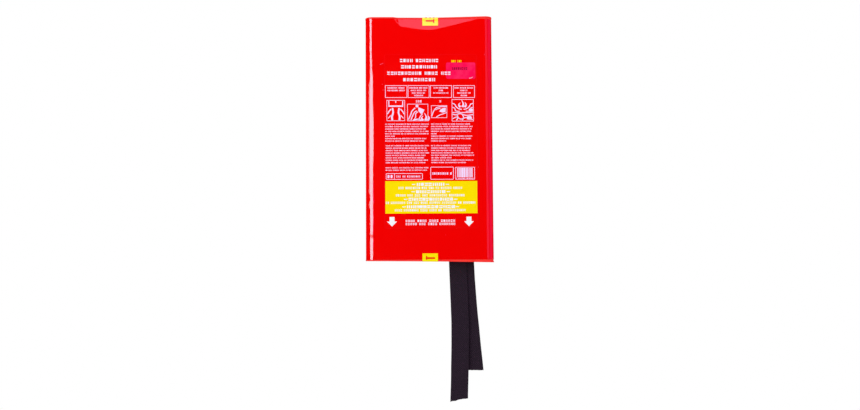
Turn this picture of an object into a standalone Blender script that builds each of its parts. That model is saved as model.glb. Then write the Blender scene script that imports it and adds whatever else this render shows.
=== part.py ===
"""Wall-mounted fire blanket in a hard case.

A red extruded tube is closed by two press-in caps and holds a folded glass-fibre blanket.
Two webbing tapes are sewn to the blanket and hang out through a slot in the bottom cap:
pulling them down pushes the bottom cap off and draws the blanket out of the tube.

Metres, +Z up, front towards -Y. The origin is the centre of the back face, which lies on the wall.
"""

from math import asin, cos, pi, radians, sin

import bmesh
import bpy
from mathutils import Matrix, Vector

# Clearances
FIT = 0.0003  # between two pieces that touch or slide
FILM_GAP = 0.00015  # under a sticker

# Case
CASE_HEIGHT = 0.2862  # over both caps
TUBE_WIDTH = 0.1486
TUBE_DEPTH = 0.036
TUBE_CORNER = 0.0065
TUBE_WALL = 0.0016
ARC_STEPS = 8  # flats in a quarter of a round corner

# Caps
FLANGE_THICKNESS = 0.0013
FLANGE_LIP = 0.0002  # how far the flange stands out past the tube
FLANGE_CHAMFER = 0.0004
SKIRT_HEIGHT = 0.0118
SKIRT_WALL = 0.0014
FLANGE_INSIDE = CASE_HEIGHT / 2 - FLANGE_THICKNESS  # height of the flange's inner face
TUBE_END = FLANGE_INSIDE - FIT

# Keyhole slots in the back wall, for two screws
KEYHOLE_SPACING = 0.080
KEYHOLE_HEIGHT = 0.098  # centre of the round entry
KEYHOLE_ENTRY_RADIUS = 0.005
KEYHOLE_SLOT_RADIUS = 0.0025
KEYHOLE_RISE = 0.011

# Folded blanket: 1.8 m by 1.2 m of 0.4 mm cloth, folded 7 by 9
PACK_WIDTH = 0.136
PACK_HEIGHT = 0.257
PACK_THICKNESS = 0.025
PACK_FRONT = -0.0315
PACK_TOP = 0.1385
PACK_ROUND = 0.003
PACK_BACK = PACK_FRONT + PACK_THICKNESS
PACK_BOTTOM = PACK_TOP - PACK_HEIGHT

# Pull tapes
TAPE_WIDTH = 0.0205
TAPE_THICKNESS = 0.0012
TAPE_STEP = 0.006  # distance between the points of a tape
FRONT_TAPE_SLANT = 0.0042  # how much lower the left corner of its cut end is
TAPE_SEWN_TOP = PACK_BOTTOM + 0.038
TAPE_ON_PACK = FIT + TAPE_THICKNESS / 2  # from the pack's face to the tape's middle

# Slot in the bottom cap, where the tapes hang out
SLOT_LEFT = 0.0212
SLOT_RIGHT = 0.0560
SLOT_MIDDLE = -TUBE_DEPTH / 2
SLOT_DEPTH = 0.0054
TAPE_OFFSET = 0.0011  # of each tape from the slot's middle

# Box-and-cross stitch that sews a tape to the blanket
STITCH_WIDTH = 0.015
STITCH_HEIGHT = 0.030
STITCH_THICKNESS = 0.0004
STITCH_LINE = 0.0008
STITCH_CENTRE = PACK_BOTTOM + 0.0205

# Stickers
FILM_THICKNESS = 0.0002
LABEL_WIDTH = 0.1084
LABEL_HEIGHT = 0.2042
LABEL_CENTRE = (0.0018, -0.0032)
LABEL_CORNER = 0.002
LOT_WIDTH = 0.0351
LOT_HEIGHT = 0.0198
LOT_CENTRE = (0.0373, 0.0796)
LOT_CORNER = 0.0015
SEAL_WIDTH = 0.0185
TOP_SEAL_CENTRE = 0.0017
BOTTOM_SEAL_CENTRE = 0.0001
SEAL_ON_FRONT = 0.0098  # from the cap's outer face to the seal's end on the tube
SEAL_ON_CAP = 0.0095


def clear_scene():
    for obj in list(bpy.data.objects):
        bpy.data.objects.remove(obj, do_unlink=True)


def make_material(name, color, roughness, alpha=1.0):
    material = bpy.data.materials.new(name)
    material.use_nodes = True
    shader = material.node_tree.nodes["Principled BSDF"]
    shader.inputs["Base Color"].default_value = (*color, 1.0)
    shader.inputs["Roughness"].default_value = roughness
    shader.inputs["Metallic"].default_value = 0.0
    shader.inputs["Alpha"].default_value = alpha
    return material


def add_empty(name, location, parent=None):
    empty = bpy.data.objects.new(name, None)
    empty.empty_display_size = 0.02
    empty.location = location
    bpy.context.collection.objects.link(empty)
    if parent:
        empty.parent = parent
        empty.location = Vector(location) - parent.location
    return empty


def add_object(name, bm, material=None, rides_on=None):
    """Turn a bmesh into an object. Its points are in world coordinates, also under a parent empty."""
    bmesh.ops.recalc_face_normals(bm, faces=bm.faces)
    mesh = bpy.data.meshes.new(name)
    bm.to_mesh(mesh)
    bm.free()
    mesh.shade_smooth()
    mesh.set_sharp_from_angle(angle=radians(30))
    obj = bpy.data.objects.new(name, mesh)
    bpy.context.collection.objects.link(obj)
    if material:
        mesh.materials.append(material)
    if rides_on:
        obj.parent = rides_on
        bpy.context.view_layer.update()
        obj.matrix_parent_inverse = rides_on.matrix_world.inverted()
    return obj


def cut(obj, cutter):
    """Subtract a cutter, which is only a guide and never shows."""
    cutter.hide_render = True
    cutter.display_type = "WIRE"
    boolean = obj.modifiers.new("cut_" + cutter.name, "BOOLEAN")
    boolean.operation = "DIFFERENCE"
    boolean.solver = "EXACT"
    boolean.object = cutter


def arc(centre, radius, start, end, steps):
    """Points on an arc, both ends included. Angles in radians."""
    points = []
    for step in range(steps + 1):
        angle = start + (end - start) * step / steps
        points.append((centre[0] + radius * cos(angle), centre[1] + radius * sin(angle)))
    return points


def rounded_rectangle(left, right, low, high, radius):
    """Outline of a rectangle with round corners, anticlockwise."""
    points = []
    points += arc((right - radius, low + radius), radius, -pi / 2, 0, ARC_STEPS)
    points += arc((right - radius, high - radius), radius, 0, pi / 2, ARC_STEPS)
    points += arc((left + radius, high - radius), radius, pi / 2, pi, ARC_STEPS)
    points += arc((left + radius, low + radius), radius, pi, 3 * pi / 2, ARC_STEPS)
    return points


def case_outline(inset):
    """Cross-section of the tube seen from above, moved in by inset from its outer face."""
    half_width = TUBE_WIDTH / 2 - inset
    radius = TUBE_CORNER - inset
    return rounded_rectangle(-half_width, half_width, inset - TUBE_DEPTH, -inset, radius)


def flange_outline(inset=0.0):
    """Cross-section of a cap's flange. Its back stays flush with the tube's, to lie flat on the wall."""
    half_width = TUBE_WIDTH / 2 + FLANGE_LIP - inset
    front = -TUBE_DEPTH - FLANGE_LIP + inset
    radius = TUBE_CORNER + FLANGE_LIP - inset
    return rounded_rectangle(-half_width, half_width, front, -inset, radius)


def loft(rings, ring_closed=False):
    """Skin a list of (outline, z) rings with equal point counts, and cap it unless it closes on itself."""
    bm = bmesh.new()
    loops = [[bm.verts.new((x, y, z)) for x, y in outline] for outline, z in rings]
    pairs = list(zip(loops, loops[1:]))
    if ring_closed:
        pairs.append((loops[-1], loops[0]))
    for lower, upper in pairs:
        for i in range(len(lower)):
            j = (i + 1) % len(lower)
            bm.faces.new((lower[i], lower[j], upper[j], upper[i]))
    if not ring_closed:
        bm.faces.new(loops[0])
        bm.faces.new(loops[-1])
    return bm


def plate(outline, y_start, y_end):
    """Extrude an outline in the XZ plane along Y."""
    bm = bmesh.new()
    front = [bm.verts.new((x, y_start, z)) for x, z in outline]
    face = bm.faces.new(front)
    extruded = bmesh.ops.extrude_face_region(bm, geom=[face])["geom"]
    moved = [item for item in extruded if isinstance(item, bmesh.types.BMVert)]
    bmesh.ops.translate(bm, verts=moved, vec=(0, y_end - y_start, 0))
    return bm


def smooth_route(points, step):
    """Catmull-Rom curve through the points, with a point about every step."""
    points = [Vector(p) for p in points]
    padded = [2 * points[0] - points[1], *points, 2 * points[-1] - points[-2]]
    route = [points[0]]
    for before, start, end, after in zip(padded, padded[1:], padded[2:], padded[3:]):
        pieces = max(1, round((end - start).length / step))
        for piece in range(1, pieces + 1):
            t = piece / pieces
            straight = 2 * start + (end - before) * t
            bend = (2 * before - 5 * start + 4 * end - after) * t**2
            turn = (3 * start - before - 3 * end + after) * t**3
            route.append((straight + bend + turn) / 2)
    return route


def strip(route, width, thickness, end_slant=0.0):
    """A flat band whose width lies along X. end_slant lowers the left corner of its end."""
    bm = bmesh.new()
    rings = []
    last = len(route) - 1
    for i, point in enumerate(route):
        along = (route[min(i + 1, last)] - route[max(i - 1, 0)]).normalized()
        normal = Vector((0, -along.z, along.y)).normalized() * thickness / 2
        slant = along * (end_slant / 2 if i == last else 0)
        left = point - Vector((width / 2, 0, 0)) + slant
        right = point + Vector((width / 2, 0, 0)) - slant
        corners = (left - normal, right - normal, right + normal, left + normal)
        rings.append([bm.verts.new(corner) for corner in corners])
    for lower, upper in zip(rings, rings[1:]):
        for i in range(4):
            j = (i + 1) % 4
            bm.faces.new((lower[i], lower[j], upper[j], upper[i]))
    bm.faces.new(rings[0])
    bm.faces.new(rings[-1])
    return bm


def keyhole_outline(x):
    """A round entry at the bottom with a narrower slot that rises out of it."""
    meeting = asin(KEYHOLE_SLOT_RADIUS / KEYHOLE_ENTRY_RADIUS)
    entry = (x, KEYHOLE_HEIGHT)
    top = (x, KEYHOLE_HEIGHT + KEYHOLE_RISE)
    points = arc(entry, KEYHOLE_ENTRY_RADIUS, pi / 2 + meeting, 5 * pi / 2 - meeting, 3 * ARC_STEPS)
    points += arc(top, KEYHOLE_SLOT_RADIUS, 0, pi, ARC_STEPS)
    return points


def build_case_tube(material):
    outer = case_outline(0)
    inner = case_outline(TUBE_WALL)
    rings = [(outer, -TUBE_END), (outer, TUBE_END), (inner, TUBE_END), (inner, -TUBE_END)]
    tube = add_object("case_tube", loft(rings, ring_closed=True), material)
    for side in (-1, 1):
        outline = keyhole_outline(side * KEYHOLE_SPACING / 2)
        cut(tube, add_object("keyhole_cutter", plate(outline, -2 * TUBE_WALL, TUBE_WALL)))


def cap_rings(side):
    """Rings of a cap from its inner plate face, over the skirt, to its outer face. side is 1 for the top."""
    skirt_outside = case_outline(TUBE_WALL + FIT)
    skirt_inside = case_outline(TUBE_WALL + FIT + SKIRT_WALL)
    inside = side * FLANGE_INSIDE
    skirt_end = side * (FLANGE_INSIDE - SKIRT_HEIGHT)
    outside = side * CASE_HEIGHT / 2
    return [
        (skirt_inside, inside),
        (skirt_inside, skirt_end),
        (skirt_outside, skirt_end),
        (skirt_outside, inside),
        (flange_outline(), inside),
        (flange_outline(), outside - side * FLANGE_CHAMFER),
        (flange_outline(FLANGE_CHAMFER), outside),
    ]


def build_top_cap(material):
    add_object("top_cap", loft(cap_rings(1)), material)


def build_bottom_cap(material, rides_on):
    cap = add_object("bottom_cap", loft(cap_rings(-1)), material, rides_on)
    low = SLOT_MIDDLE - SLOT_DEPTH / 2
    high = SLOT_MIDDLE + SLOT_DEPTH / 2
    outline = rounded_rectangle(SLOT_LEFT, SLOT_RIGHT, low, high, 0.45 * SLOT_DEPTH)
    below = -CASE_HEIGHT / 2 - FLANGE_THICKNESS
    above = -FLANGE_INSIDE + FLANGE_THICKNESS
    cutter = loft([(outline, below), (outline, above)])
    cut(cap, add_object("tape_slot_cutter", cutter, None, rides_on))


def build_folded_blanket(material, rides_on):
    bm = bmesh.new()
    bmesh.ops.create_cube(bm, size=1)
    bmesh.ops.scale(bm, verts=bm.verts, vec=(PACK_WIDTH, PACK_THICKNESS, PACK_HEIGHT))
    middle = (0, PACK_FRONT + PACK_THICKNESS / 2, PACK_TOP - PACK_HEIGHT / 2)
    bmesh.ops.translate(bm, verts=bm.verts, vec=middle)
    pack = add_object("folded_blanket", bm, material, rides_on)
    rounding = pack.modifiers.new("soft_edges", "BEVEL")
    rounding.width = PACK_ROUND
    rounding.segments = 3


def front_tape_route():
    """Sewn to the pack's front face, then back to the slot and down, with a slight sway."""
    on_pack = PACK_FRONT - TAPE_ON_PACK
    in_slot = SLOT_MIDDLE - TAPE_OFFSET
    return [
        (0.0328, on_pack, TAPE_SEWN_TOP),
        (0.0330, on_pack, PACK_BOTTOM + 0.004),
        (0.0331, on_pack + 0.0020, PACK_BOTTOM - 0.006),
        (0.0333, in_slot - 0.0030, PACK_BOTTOM - 0.0165),
        (0.0336, in_slot, -0.1440),
        (0.0345, in_slot, -0.1720),
        (0.0357, in_slot - 0.0006, -0.2160),
        (0.0354, in_slot - 0.0008, -0.2650),
        (0.0331, in_slot, -0.3045),
    ]


def rear_tape_route():
    """Sewn to the pack's back face, then forward to the slot and down, drifting to the right."""
    on_pack = PACK_BACK + TAPE_ON_PACK
    in_slot = SLOT_MIDDLE + TAPE_OFFSET
    return [
        (0.0415, on_pack, TAPE_SEWN_TOP),
        (0.0416, on_pack, PACK_BOTTOM + 0.004),
        (0.0417, on_pack - 0.0018, PACK_BOTTOM - 0.006),
        (0.0418, in_slot + 0.0026, PACK_BOTTOM - 0.0165),
        (0.0420, in_slot, -0.1440),
        (0.0430, in_slot, -0.1720),
        (0.0460, in_slot + 0.0006, -0.2127),
        (0.0516, in_slot + 0.0012, -0.2707),
    ]


def build_pull_tapes(material, rides_on):
    routes = {
        "pull_tape_front": (front_tape_route(), FRONT_TAPE_SLANT),
        "pull_tape_rear": (rear_tape_route(), 0.0),
    }
    for name, (points, end_slant) in routes.items():
        route = smooth_route(points, TAPE_STEP)
        add_object(name, strip(route, TAPE_WIDTH, TAPE_THICKNESS, end_slant), material, rides_on)


def stitch_windows(x):
    """The four triangles between the lines of a box-and-cross stitch."""
    half_width = STITCH_WIDTH / 2 - STITCH_LINE
    half_height = STITCH_HEIGHT / 2 - STITCH_LINE
    corners = [(-1, -1), (1, -1), (1, 1), (-1, 1)]
    for (ax, az), (bx, bz) in zip(corners, corners[1:] + corners[:1]):
        along = (STITCH_LINE * (bx - ax) / 2, STITCH_LINE * (bz - az) / 2)
        out = ((ax + bx) / 2 * STITCH_LINE, (az + bz) / 2 * STITCH_LINE)
        yield [
            (x + ax * half_width + along[0], STITCH_CENTRE + az * half_height + along[1]),
            (x + bx * half_width - along[0], STITCH_CENTRE + bz * half_height - along[1]),
            (x + out[0], STITCH_CENTRE + out[1]),
        ]


def build_tape_stitches(material, rides_on):
    reach = TAPE_ON_PACK + TAPE_THICKNESS / 2 + FIT
    stitches = {
        "tape_stitch_front": (0.0329, PACK_FRONT - reach, -1),
        "tape_stitch_rear": (0.0415, PACK_BACK + reach, 1),
    }
    for name, (x, near, side) in stitches.items():
        far = near + side * STITCH_THICKNESS
        left, right = x - STITCH_WIDTH / 2, x + STITCH_WIDTH / 2
        low, high = STITCH_CENTRE - STITCH_HEIGHT / 2, STITCH_CENTRE + STITCH_HEIGHT / 2
        outline = [(left, low), (right, low), (right, high), (left, high)]
        stitch = add_object(name, plate(outline, near, far), material, rides_on)
        beyond = side * STITCH_THICKNESS
        for window in stitch_windows(x):
            cutter = plate(window, near - beyond, far + beyond)
            cut(stitch, add_object("window_cutter", cutter, None, rides_on))


def sticker(name, size, centre, corner, behind, material):
    """A thin rectangle on the front face. behind is the depth of the surface it is stuck to."""
    width, height = size
    outline = rounded_rectangle(-width / 2, width / 2, -height / 2, height / 2, corner)
    obj = add_object(name, plate(outline, 0, -FILM_THICKNESS), material)
    obj.location = (centre[0], behind - FILM_GAP, centre[1])


def build_labels(film_material, lot_material):
    front = -TUBE_DEPTH
    label_size = (LABEL_WIDTH, LABEL_HEIGHT)
    sticker("instruction_label", label_size, LABEL_CENTRE, LABEL_CORNER, front, film_material)
    on_label = front - FILM_GAP - FILM_THICKNESS
    sticker("lot_label", (LOT_WIDTH, LOT_HEIGHT), LOT_CENTRE, LOT_CORNER, on_label, lot_material)


def seal_strip(name, centre, points, material, rides_on=None):
    route = [Vector((centre, y, z)) for y, z in points]
    add_object(name, strip(route, SEAL_WIDTH, FILM_THICKNESS), material, rides_on)


def build_seals(material, cap_body):
    """Each seal bridges the joint between tube and cap. The lower one tears there, so it is two pieces."""
    away = FILM_GAP + FILM_THICKNESS / 2
    on_tube = -TUBE_DEPTH - away
    on_flange = -TUBE_DEPTH - FLANGE_LIP - away
    outside = CASE_HEIGHT / 2 + away
    end_on_tube = CASE_HEIGHT / 2 - SEAL_ON_FRONT
    end_on_cap = on_flange + SEAL_ON_CAP
    step_start = TUBE_END - FLANGE_LIP
    top = [
        (on_tube, end_on_tube),
        (on_tube, step_start - FLANGE_LIP),
        (on_flange, step_start),
        (on_flange, outside - FLANGE_CHAMFER),
        (on_flange + FLANGE_CHAMFER, outside),
        (end_on_cap, outside),
    ]
    seal_strip("top_seal", TOP_SEAL_CENTRE, top, material)
    upper = [(on_tube, -end_on_tube), (on_tube, -TUBE_END)]
    seal_strip("bottom_seal_upper", BOTTOM_SEAL_CENTRE, upper, material)
    lower = [
        (on_flange, -FLANGE_INSIDE),
        (on_flange, FLANGE_CHAMFER - outside),
        (on_flange + FLANGE_CHAMFER, -outside),
        (end_on_cap, -outside),
    ]
    seal_strip("bottom_seal_lower", BOTTOM_SEAL_CENTRE, lower, material, cap_body)


def main():
    clear_scene()
    case_red = make_material("case_red", (0.85, 0.0, 0.0), 0.12)
    cap_red = make_material("cap_red", (0.87, 0.012, 0.008), 0.25)
    glass_cloth = make_material("glass_cloth", (0.80, 0.79, 0.74), 0.85)
    black_webbing = make_material("black_webbing", (0.020, 0.012, 0.020), 0.8)
    stitch_thread = make_material("stitch_thread", (0.55, 0.53, 0.48), 0.7)
    label_film = make_material("label_film", (0.95, 0.93, 0.93), 0.15, alpha=0.25)
    lot_pink = make_material("lot_pink", (0.97, 0.006, 0.095), 0.3)
    seal_yellow = make_material("seal_yellow", (0.98, 0.79, 0.003), 0.3)

    pull = add_empty("blanket_pull_axis", (0, SLOT_MIDDLE, 0))
    release = add_empty("cap_release_axis", (0, SLOT_MIDDLE, -FLANGE_INSIDE), pull)

    build_case_tube(case_red)
    build_top_cap(cap_red)
    build_bottom_cap(cap_red, release)
    build_folded_blanket(glass_cloth, pull)
    build_pull_tapes(black_webbing, pull)
    build_tape_stitches(stitch_thread, pull)
    build_labels(label_film, lot_pink)
    build_seals(seal_yellow, release)


main()
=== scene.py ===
"""Looks for the wall-mounted fire blanket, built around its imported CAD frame.

Metres, +Z up, front towards -Y, the wall at y = 0. The print's layout is in millimetres on the
front face, x to the right and z up.
"""

import random
from math import asin, cos, exp, log, pi, radians, sin

import bmesh
import bpy
from mathutils import Matrix, Vector, noise


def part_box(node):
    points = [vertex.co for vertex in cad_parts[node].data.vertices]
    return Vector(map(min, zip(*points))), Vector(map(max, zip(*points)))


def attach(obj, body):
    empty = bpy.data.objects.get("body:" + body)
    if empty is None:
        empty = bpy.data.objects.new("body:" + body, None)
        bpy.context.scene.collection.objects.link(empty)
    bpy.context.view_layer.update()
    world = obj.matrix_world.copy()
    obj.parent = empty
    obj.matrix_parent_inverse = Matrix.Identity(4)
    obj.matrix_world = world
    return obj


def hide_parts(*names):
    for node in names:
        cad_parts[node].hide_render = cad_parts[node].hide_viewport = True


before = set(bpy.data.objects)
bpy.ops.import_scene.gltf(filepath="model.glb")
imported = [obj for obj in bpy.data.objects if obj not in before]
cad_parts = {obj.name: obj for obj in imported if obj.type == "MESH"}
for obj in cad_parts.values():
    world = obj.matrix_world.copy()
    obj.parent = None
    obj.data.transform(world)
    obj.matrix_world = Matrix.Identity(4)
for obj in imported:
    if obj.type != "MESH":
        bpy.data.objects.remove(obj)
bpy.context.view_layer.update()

MM = 0.001
SEED = 7

# The case, from the frame
TUBE_LOW, TUBE_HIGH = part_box("case_tube")
HALF_WIDTH = TUBE_HIGH.x
FRONT = TUBE_LOW.y
TUBE_END = TUBE_HIGH.z
WALL = 1.6 * MM
FRONT_CORNER = 8.6 * MM
BACK_CORNER = 6.5 * MM
EDGE_ROUND = 0.25 * MM
LEAST_ROUND = 0.4 * MM

# The dent in the front wall at the top. It meets the flat face in three creases, each (x, z, slope):
# a place on it, and how far it rises for each metre to the right, or for the left one, how far it
# goes to the right for each metre up. The wall falls back behind them.
DENT_STEEPNESS = 0.21
DENT_LOWER_LEFT = (-34.9 * MM, 131.5 * MM, -0.132)
DENT_LOWER_RIGHT = (1.4 * MM, 126.5 * MM, 0.256)
DENT_LEFT = (-40.0 * MM, 140.8 * MM, -0.711)
DENT_LEFT_STEEPNESS = 0.55
DENT_CREASE = 0.35 * MM

# Caps
CAP_LIP = 0.25 * MM
CAP_THICKNESS = 1.25 * MM
CAP_ROUND = 0.35 * MM
CAP_CROWN = 0.08 * MM  # how much thicker the plate is towards its middle
PLATE_INSETS = (14 * MM, 9 * MM)
SKIRT_DEPTH = 11.5 * MM
SKIRT_GAP = 0.3 * MM
SKIRT_WALL = 1.4 * MM
SHOULDER_INSET = 0.3 * MM
SHOULDER_GAP = 0.05 * MM
TOP_CAP_GAPS = (0.37 * MM, 1.87 * MM)  # between the tube's end and the flange, at its left and right
BOTTOM_CAP_GAPS = (0.05 * MM, 2.30 * MM)
TOP_CAP_SAG = 0.50 * MM
BOTTOM_CAP_SAG = 0.40 * MM

# Stickers
FILM_LIFT = 0.15 * MM
FILM_THICKNESS = 0.2 * MM
PRINT_LIFT = FILM_LIFT + FILM_THICKNESS + 0.01 * MM
PRINT_THICKNESS = 0.04 * MM
OVERPRINT_LIFT = PRINT_LIFT + PRINT_THICKNESS + 0.02 * MM
SEAL_THICKNESS = 0.12 * MM

# Tapes
TAPE_WIDTH = 20.5 * MM
TAPE_THICKNESS = 1.2 * MM
TAPE_STEP = 0.35 * MM
TAPE_COLUMNS = 26
RIB_PITCH = 1.7 * MM


# Small mathematics

def smoothstep(low, high, value):
    t = min(1.0, max(0.0, (value - low) / (high - low)))
    return t * t * (3 - 2 * t)


def soft_ramp(value, width):
    """Zero below 0 and value above it, rounded over about width."""
    if value > 20 * width:
        return value
    return width * log(1 + exp(value / width))


def soft_min(a, b, width):
    return a - soft_ramp(a - b, width)


def arc(centre, radius, start, end, steps, whole=False):
    """Points on an arc, without its last one unless it is whole. Angles in radians."""
    points = []
    for step in range(steps + whole):
        angle = start + (end - start) * step / steps
        points.append((centre[0] + radius * cos(angle), centre[1] + radius * sin(angle)))
    return points


def straight(start, end, steps):
    """Points on a straight line without its last one."""
    return [
        (start[0] + (end[0] - start[0]) * i / steps, start[1] + (end[1] - start[1]) * i / steps)
        for i in range(steps)
    ]


def smooth_route(points, step):
    """Catmull-Rom curve through the points, with a point about every step."""
    points = [Vector(p) for p in points]
    padded = [2 * points[0] - points[1], *points, 2 * points[-1] - points[-2]]
    route = [points[0]]
    for before, start, end, after in zip(padded, padded[1:], padded[2:], padded[3:]):
        pieces = max(1, round((end - start).length / step))
        for piece in range(1, pieces + 1):
            t = piece / pieces
            linear = 2 * start + (end - before) * t
            bend = (2 * before - 5 * start + 4 * end - after) * t**2
            turn = (3 * start - before - 3 * end + after) * t**3
            route.append((linear + bend + turn) / 2)
    return route


# The case's surface

def dent_depth(x, z):
    """How far the front wall is pushed back near its top edge."""
    falls = []
    for corner_x, corner_z, slope in (DENT_LOWER_LEFT, DENT_LOWER_RIGHT):
        falls.append(DENT_STEEPNESS * (z - corner_z - slope * (x - corner_x)))
    left_x, left_z, lean = DENT_LEFT
    falls.append(DENT_LEFT_STEEPNESS * (x - left_x - lean * (z - left_z)))
    depth = soft_min(soft_min(falls[0], falls[1], 0.3 * MM), falls[2], 0.3 * MM)
    return soft_ramp(depth, DENT_CREASE * DENT_STEEPNESS)


def wall_shift(x, z):
    """How far the front wall lies behind its flat plane: a slight crown, waves and the dent."""
    crown = -0.15 * MM * (1 - min(1.0, (x / 0.066) ** 2))
    waves = 0.10 * MM * noise.noise(Vector((x * 16, 1.7, z * 11)))
    by_left_corner = smoothstep(60 * MM, 66 * MM, -x)
    ripples = 0.13 * MM * by_left_corner * noise.noise(Vector((x * 60, 4.2, z * 14)))
    roll = 0.21 * MM * smoothstep(-50 * MM, -10 * MM, z) * (1 - smoothstep(15 * MM, 75 * MM, z))
    low_waves = max(0.0, cos(2 * pi * (z + 74 * MM) / (22 * MM)))
    low_waves *= smoothstep(55 * MM, 66 * MM, -z) * (1 - smoothstep(124 * MM, 132 * MM, -z))
    ripples += roll * smoothstep(59 * MM, 68 * MM, -x)
    ripples += 0.20 * MM * low_waves * smoothstep(56 * MM, 68 * MM, -x)
    return crown + waves + ripples + dent_depth(x, z)


def front_y(x, z):
    return FRONT + wall_shift(x, z)


def side_bow(x, y, z):
    """How far a side wall bows out, a little more at the right and towards the bottom."""
    across_depth = sin(pi * min(1.0, max(0.0, y / FRONT)))
    by_side = smoothstep(60 * MM, 72 * MM, abs(x))
    lower = 0.5 - 0.5 * z / TUBE_END
    bow = 0.30 + 0.25 * lower if x > 0 else 0.32 - 0.15 * lower
    return bow * MM * across_depth * by_side * (1 if x > 0 else -1)


def bent(x, y, z):
    """A point of a flat-sided case, moved with its front and side walls."""
    share = 1 - smoothstep(FRONT + 2 * MM, FRONT + 9 * MM, y)
    return Vector((x + side_bow(x, y, z), y + share * wall_shift(x, z), z))


def case_section(inset, lip=0.0):
    """Cross-section of the case seen from above, anticlockwise, moved in by inset."""
    half = HALF_WIDTH + lip - inset
    front = FRONT - lip + inset
    front_round = max(FRONT_CORNER + lip - inset, LEAST_ROUND)
    back_round = max(BACK_CORNER + lip - inset, LEAST_ROUND)
    corners = [
        (half - front_round, front + front_round, front_round, 100, 12),
        (half - back_round, -inset - back_round, back_round, 8, 10),
        (back_round - half, -inset - back_round, back_round, 30, 10),
        (front_round - half, front + front_round, front_round, 8, 12),
    ]
    points = []
    last = (front_round - half, front)
    for quarter, (x, y, radius, run_steps, turn_steps) in enumerate(corners):
        start = (quarter - 1) * pi / 2
        turn = arc((x, y), radius, start, start + pi / 2, turn_steps, whole=True)
        points += straight(last, turn[0], run_steps) + turn[:-1]
        last = turn[-1]
    return points


# Mesh helpers

def mesh_object(name, bm):
    """An object from a bmesh, with its faces turned outwards."""
    bmesh.ops.recalc_face_normals(bm, faces=bm.faces)
    mesh = bpy.data.meshes.new(name)
    bm.to_mesh(mesh)
    bm.free()
    obj = bpy.data.objects.new(name, mesh)
    bpy.context.collection.objects.link(obj)
    return obj


def new_piece(name, bm, material, body, replaced=(), smooth_angle=35):
    """A finished piece on its body and the CAD nodes that it replaces."""
    obj = mesh_object(name, bm)
    obj.data.shade_smooth()
    obj.data.set_sharp_from_angle(angle=radians(smooth_angle))
    obj.data.materials.append(material)
    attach(obj, body)
    if replaced:
        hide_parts(*replaced)
    return obj


def bridge(bm, rings, closed=False):
    """Quads between neighbouring rings of vertices, each ring a closed loop."""
    for lower, upper in zip(rings, rings[1:] + rings[:1] if closed else rings[1:]):
        for i in range(len(lower)):
            j = (i + 1) % len(lower)
            bm.faces.new((lower[i], lower[j], upper[j], upper[i]))


def bridge_solid(bm, rings):
    """Bridge rings and close the first and the last of them with a face."""
    bridge(bm, rings)
    bm.faces.new(rings[0])
    bm.faces.new(rings[-1])


def close_layers(bm, layers):
    """Close a thin piece from its two layers, each a list of rows of vertices, keyed 1 and -1."""
    for rows in layers.values():
        for lower, upper in zip(rows, rows[1:]):
            for corners in zip(lower, lower[1:], upper[1:], upper):
                bm.faces.new(corners)
    front, back = layers[1], layers[-1]
    for edge in (0, -1):
        for i in range(len(front) - 1):
            bm.faces.new((front[i][edge], back[i][edge], back[i + 1][edge], front[i + 1][edge]))
        for i in range(len(front[edge]) - 1):
            bm.faces.new((front[edge][i], front[edge][i + 1], back[edge][i + 1], back[edge][i]))


def write_flat(bm, layer, coordinates):
    """Store each vertex's flat coordinates in metres as a UV map."""
    for face in bm.faces:
        for loop in face.loops:
            loop[layer].uv = coordinates[loop.vert]


def ring_of(bm, points):
    return [bm.verts.new(point) for point in points]


def cut(obj, cutter):
    """Subtract a cutter from a mesh for good, and remove the cutter."""
    boolean = obj.modifiers.new("cut", "BOOLEAN")
    boolean.operation = "DIFFERENCE"
    boolean.solver = "EXACT"
    boolean.object = cutter
    bpy.context.view_layer.update()
    depsgraph = bpy.context.evaluated_depsgraph_get()
    result = bpy.data.meshes.new_from_object(obj.evaluated_get(depsgraph))
    obj.modifiers.clear()
    obj.data = result
    bpy.data.objects.remove(cutter)


def cutter_between(first, second):
    """A solid between two outlines with the same number of points, to cut another with."""
    bm = bmesh.new()
    bridge_solid(bm, [ring_of(bm, first), ring_of(bm, second)])
    return mesh_object("cutter", bm)


# Materials

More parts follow.
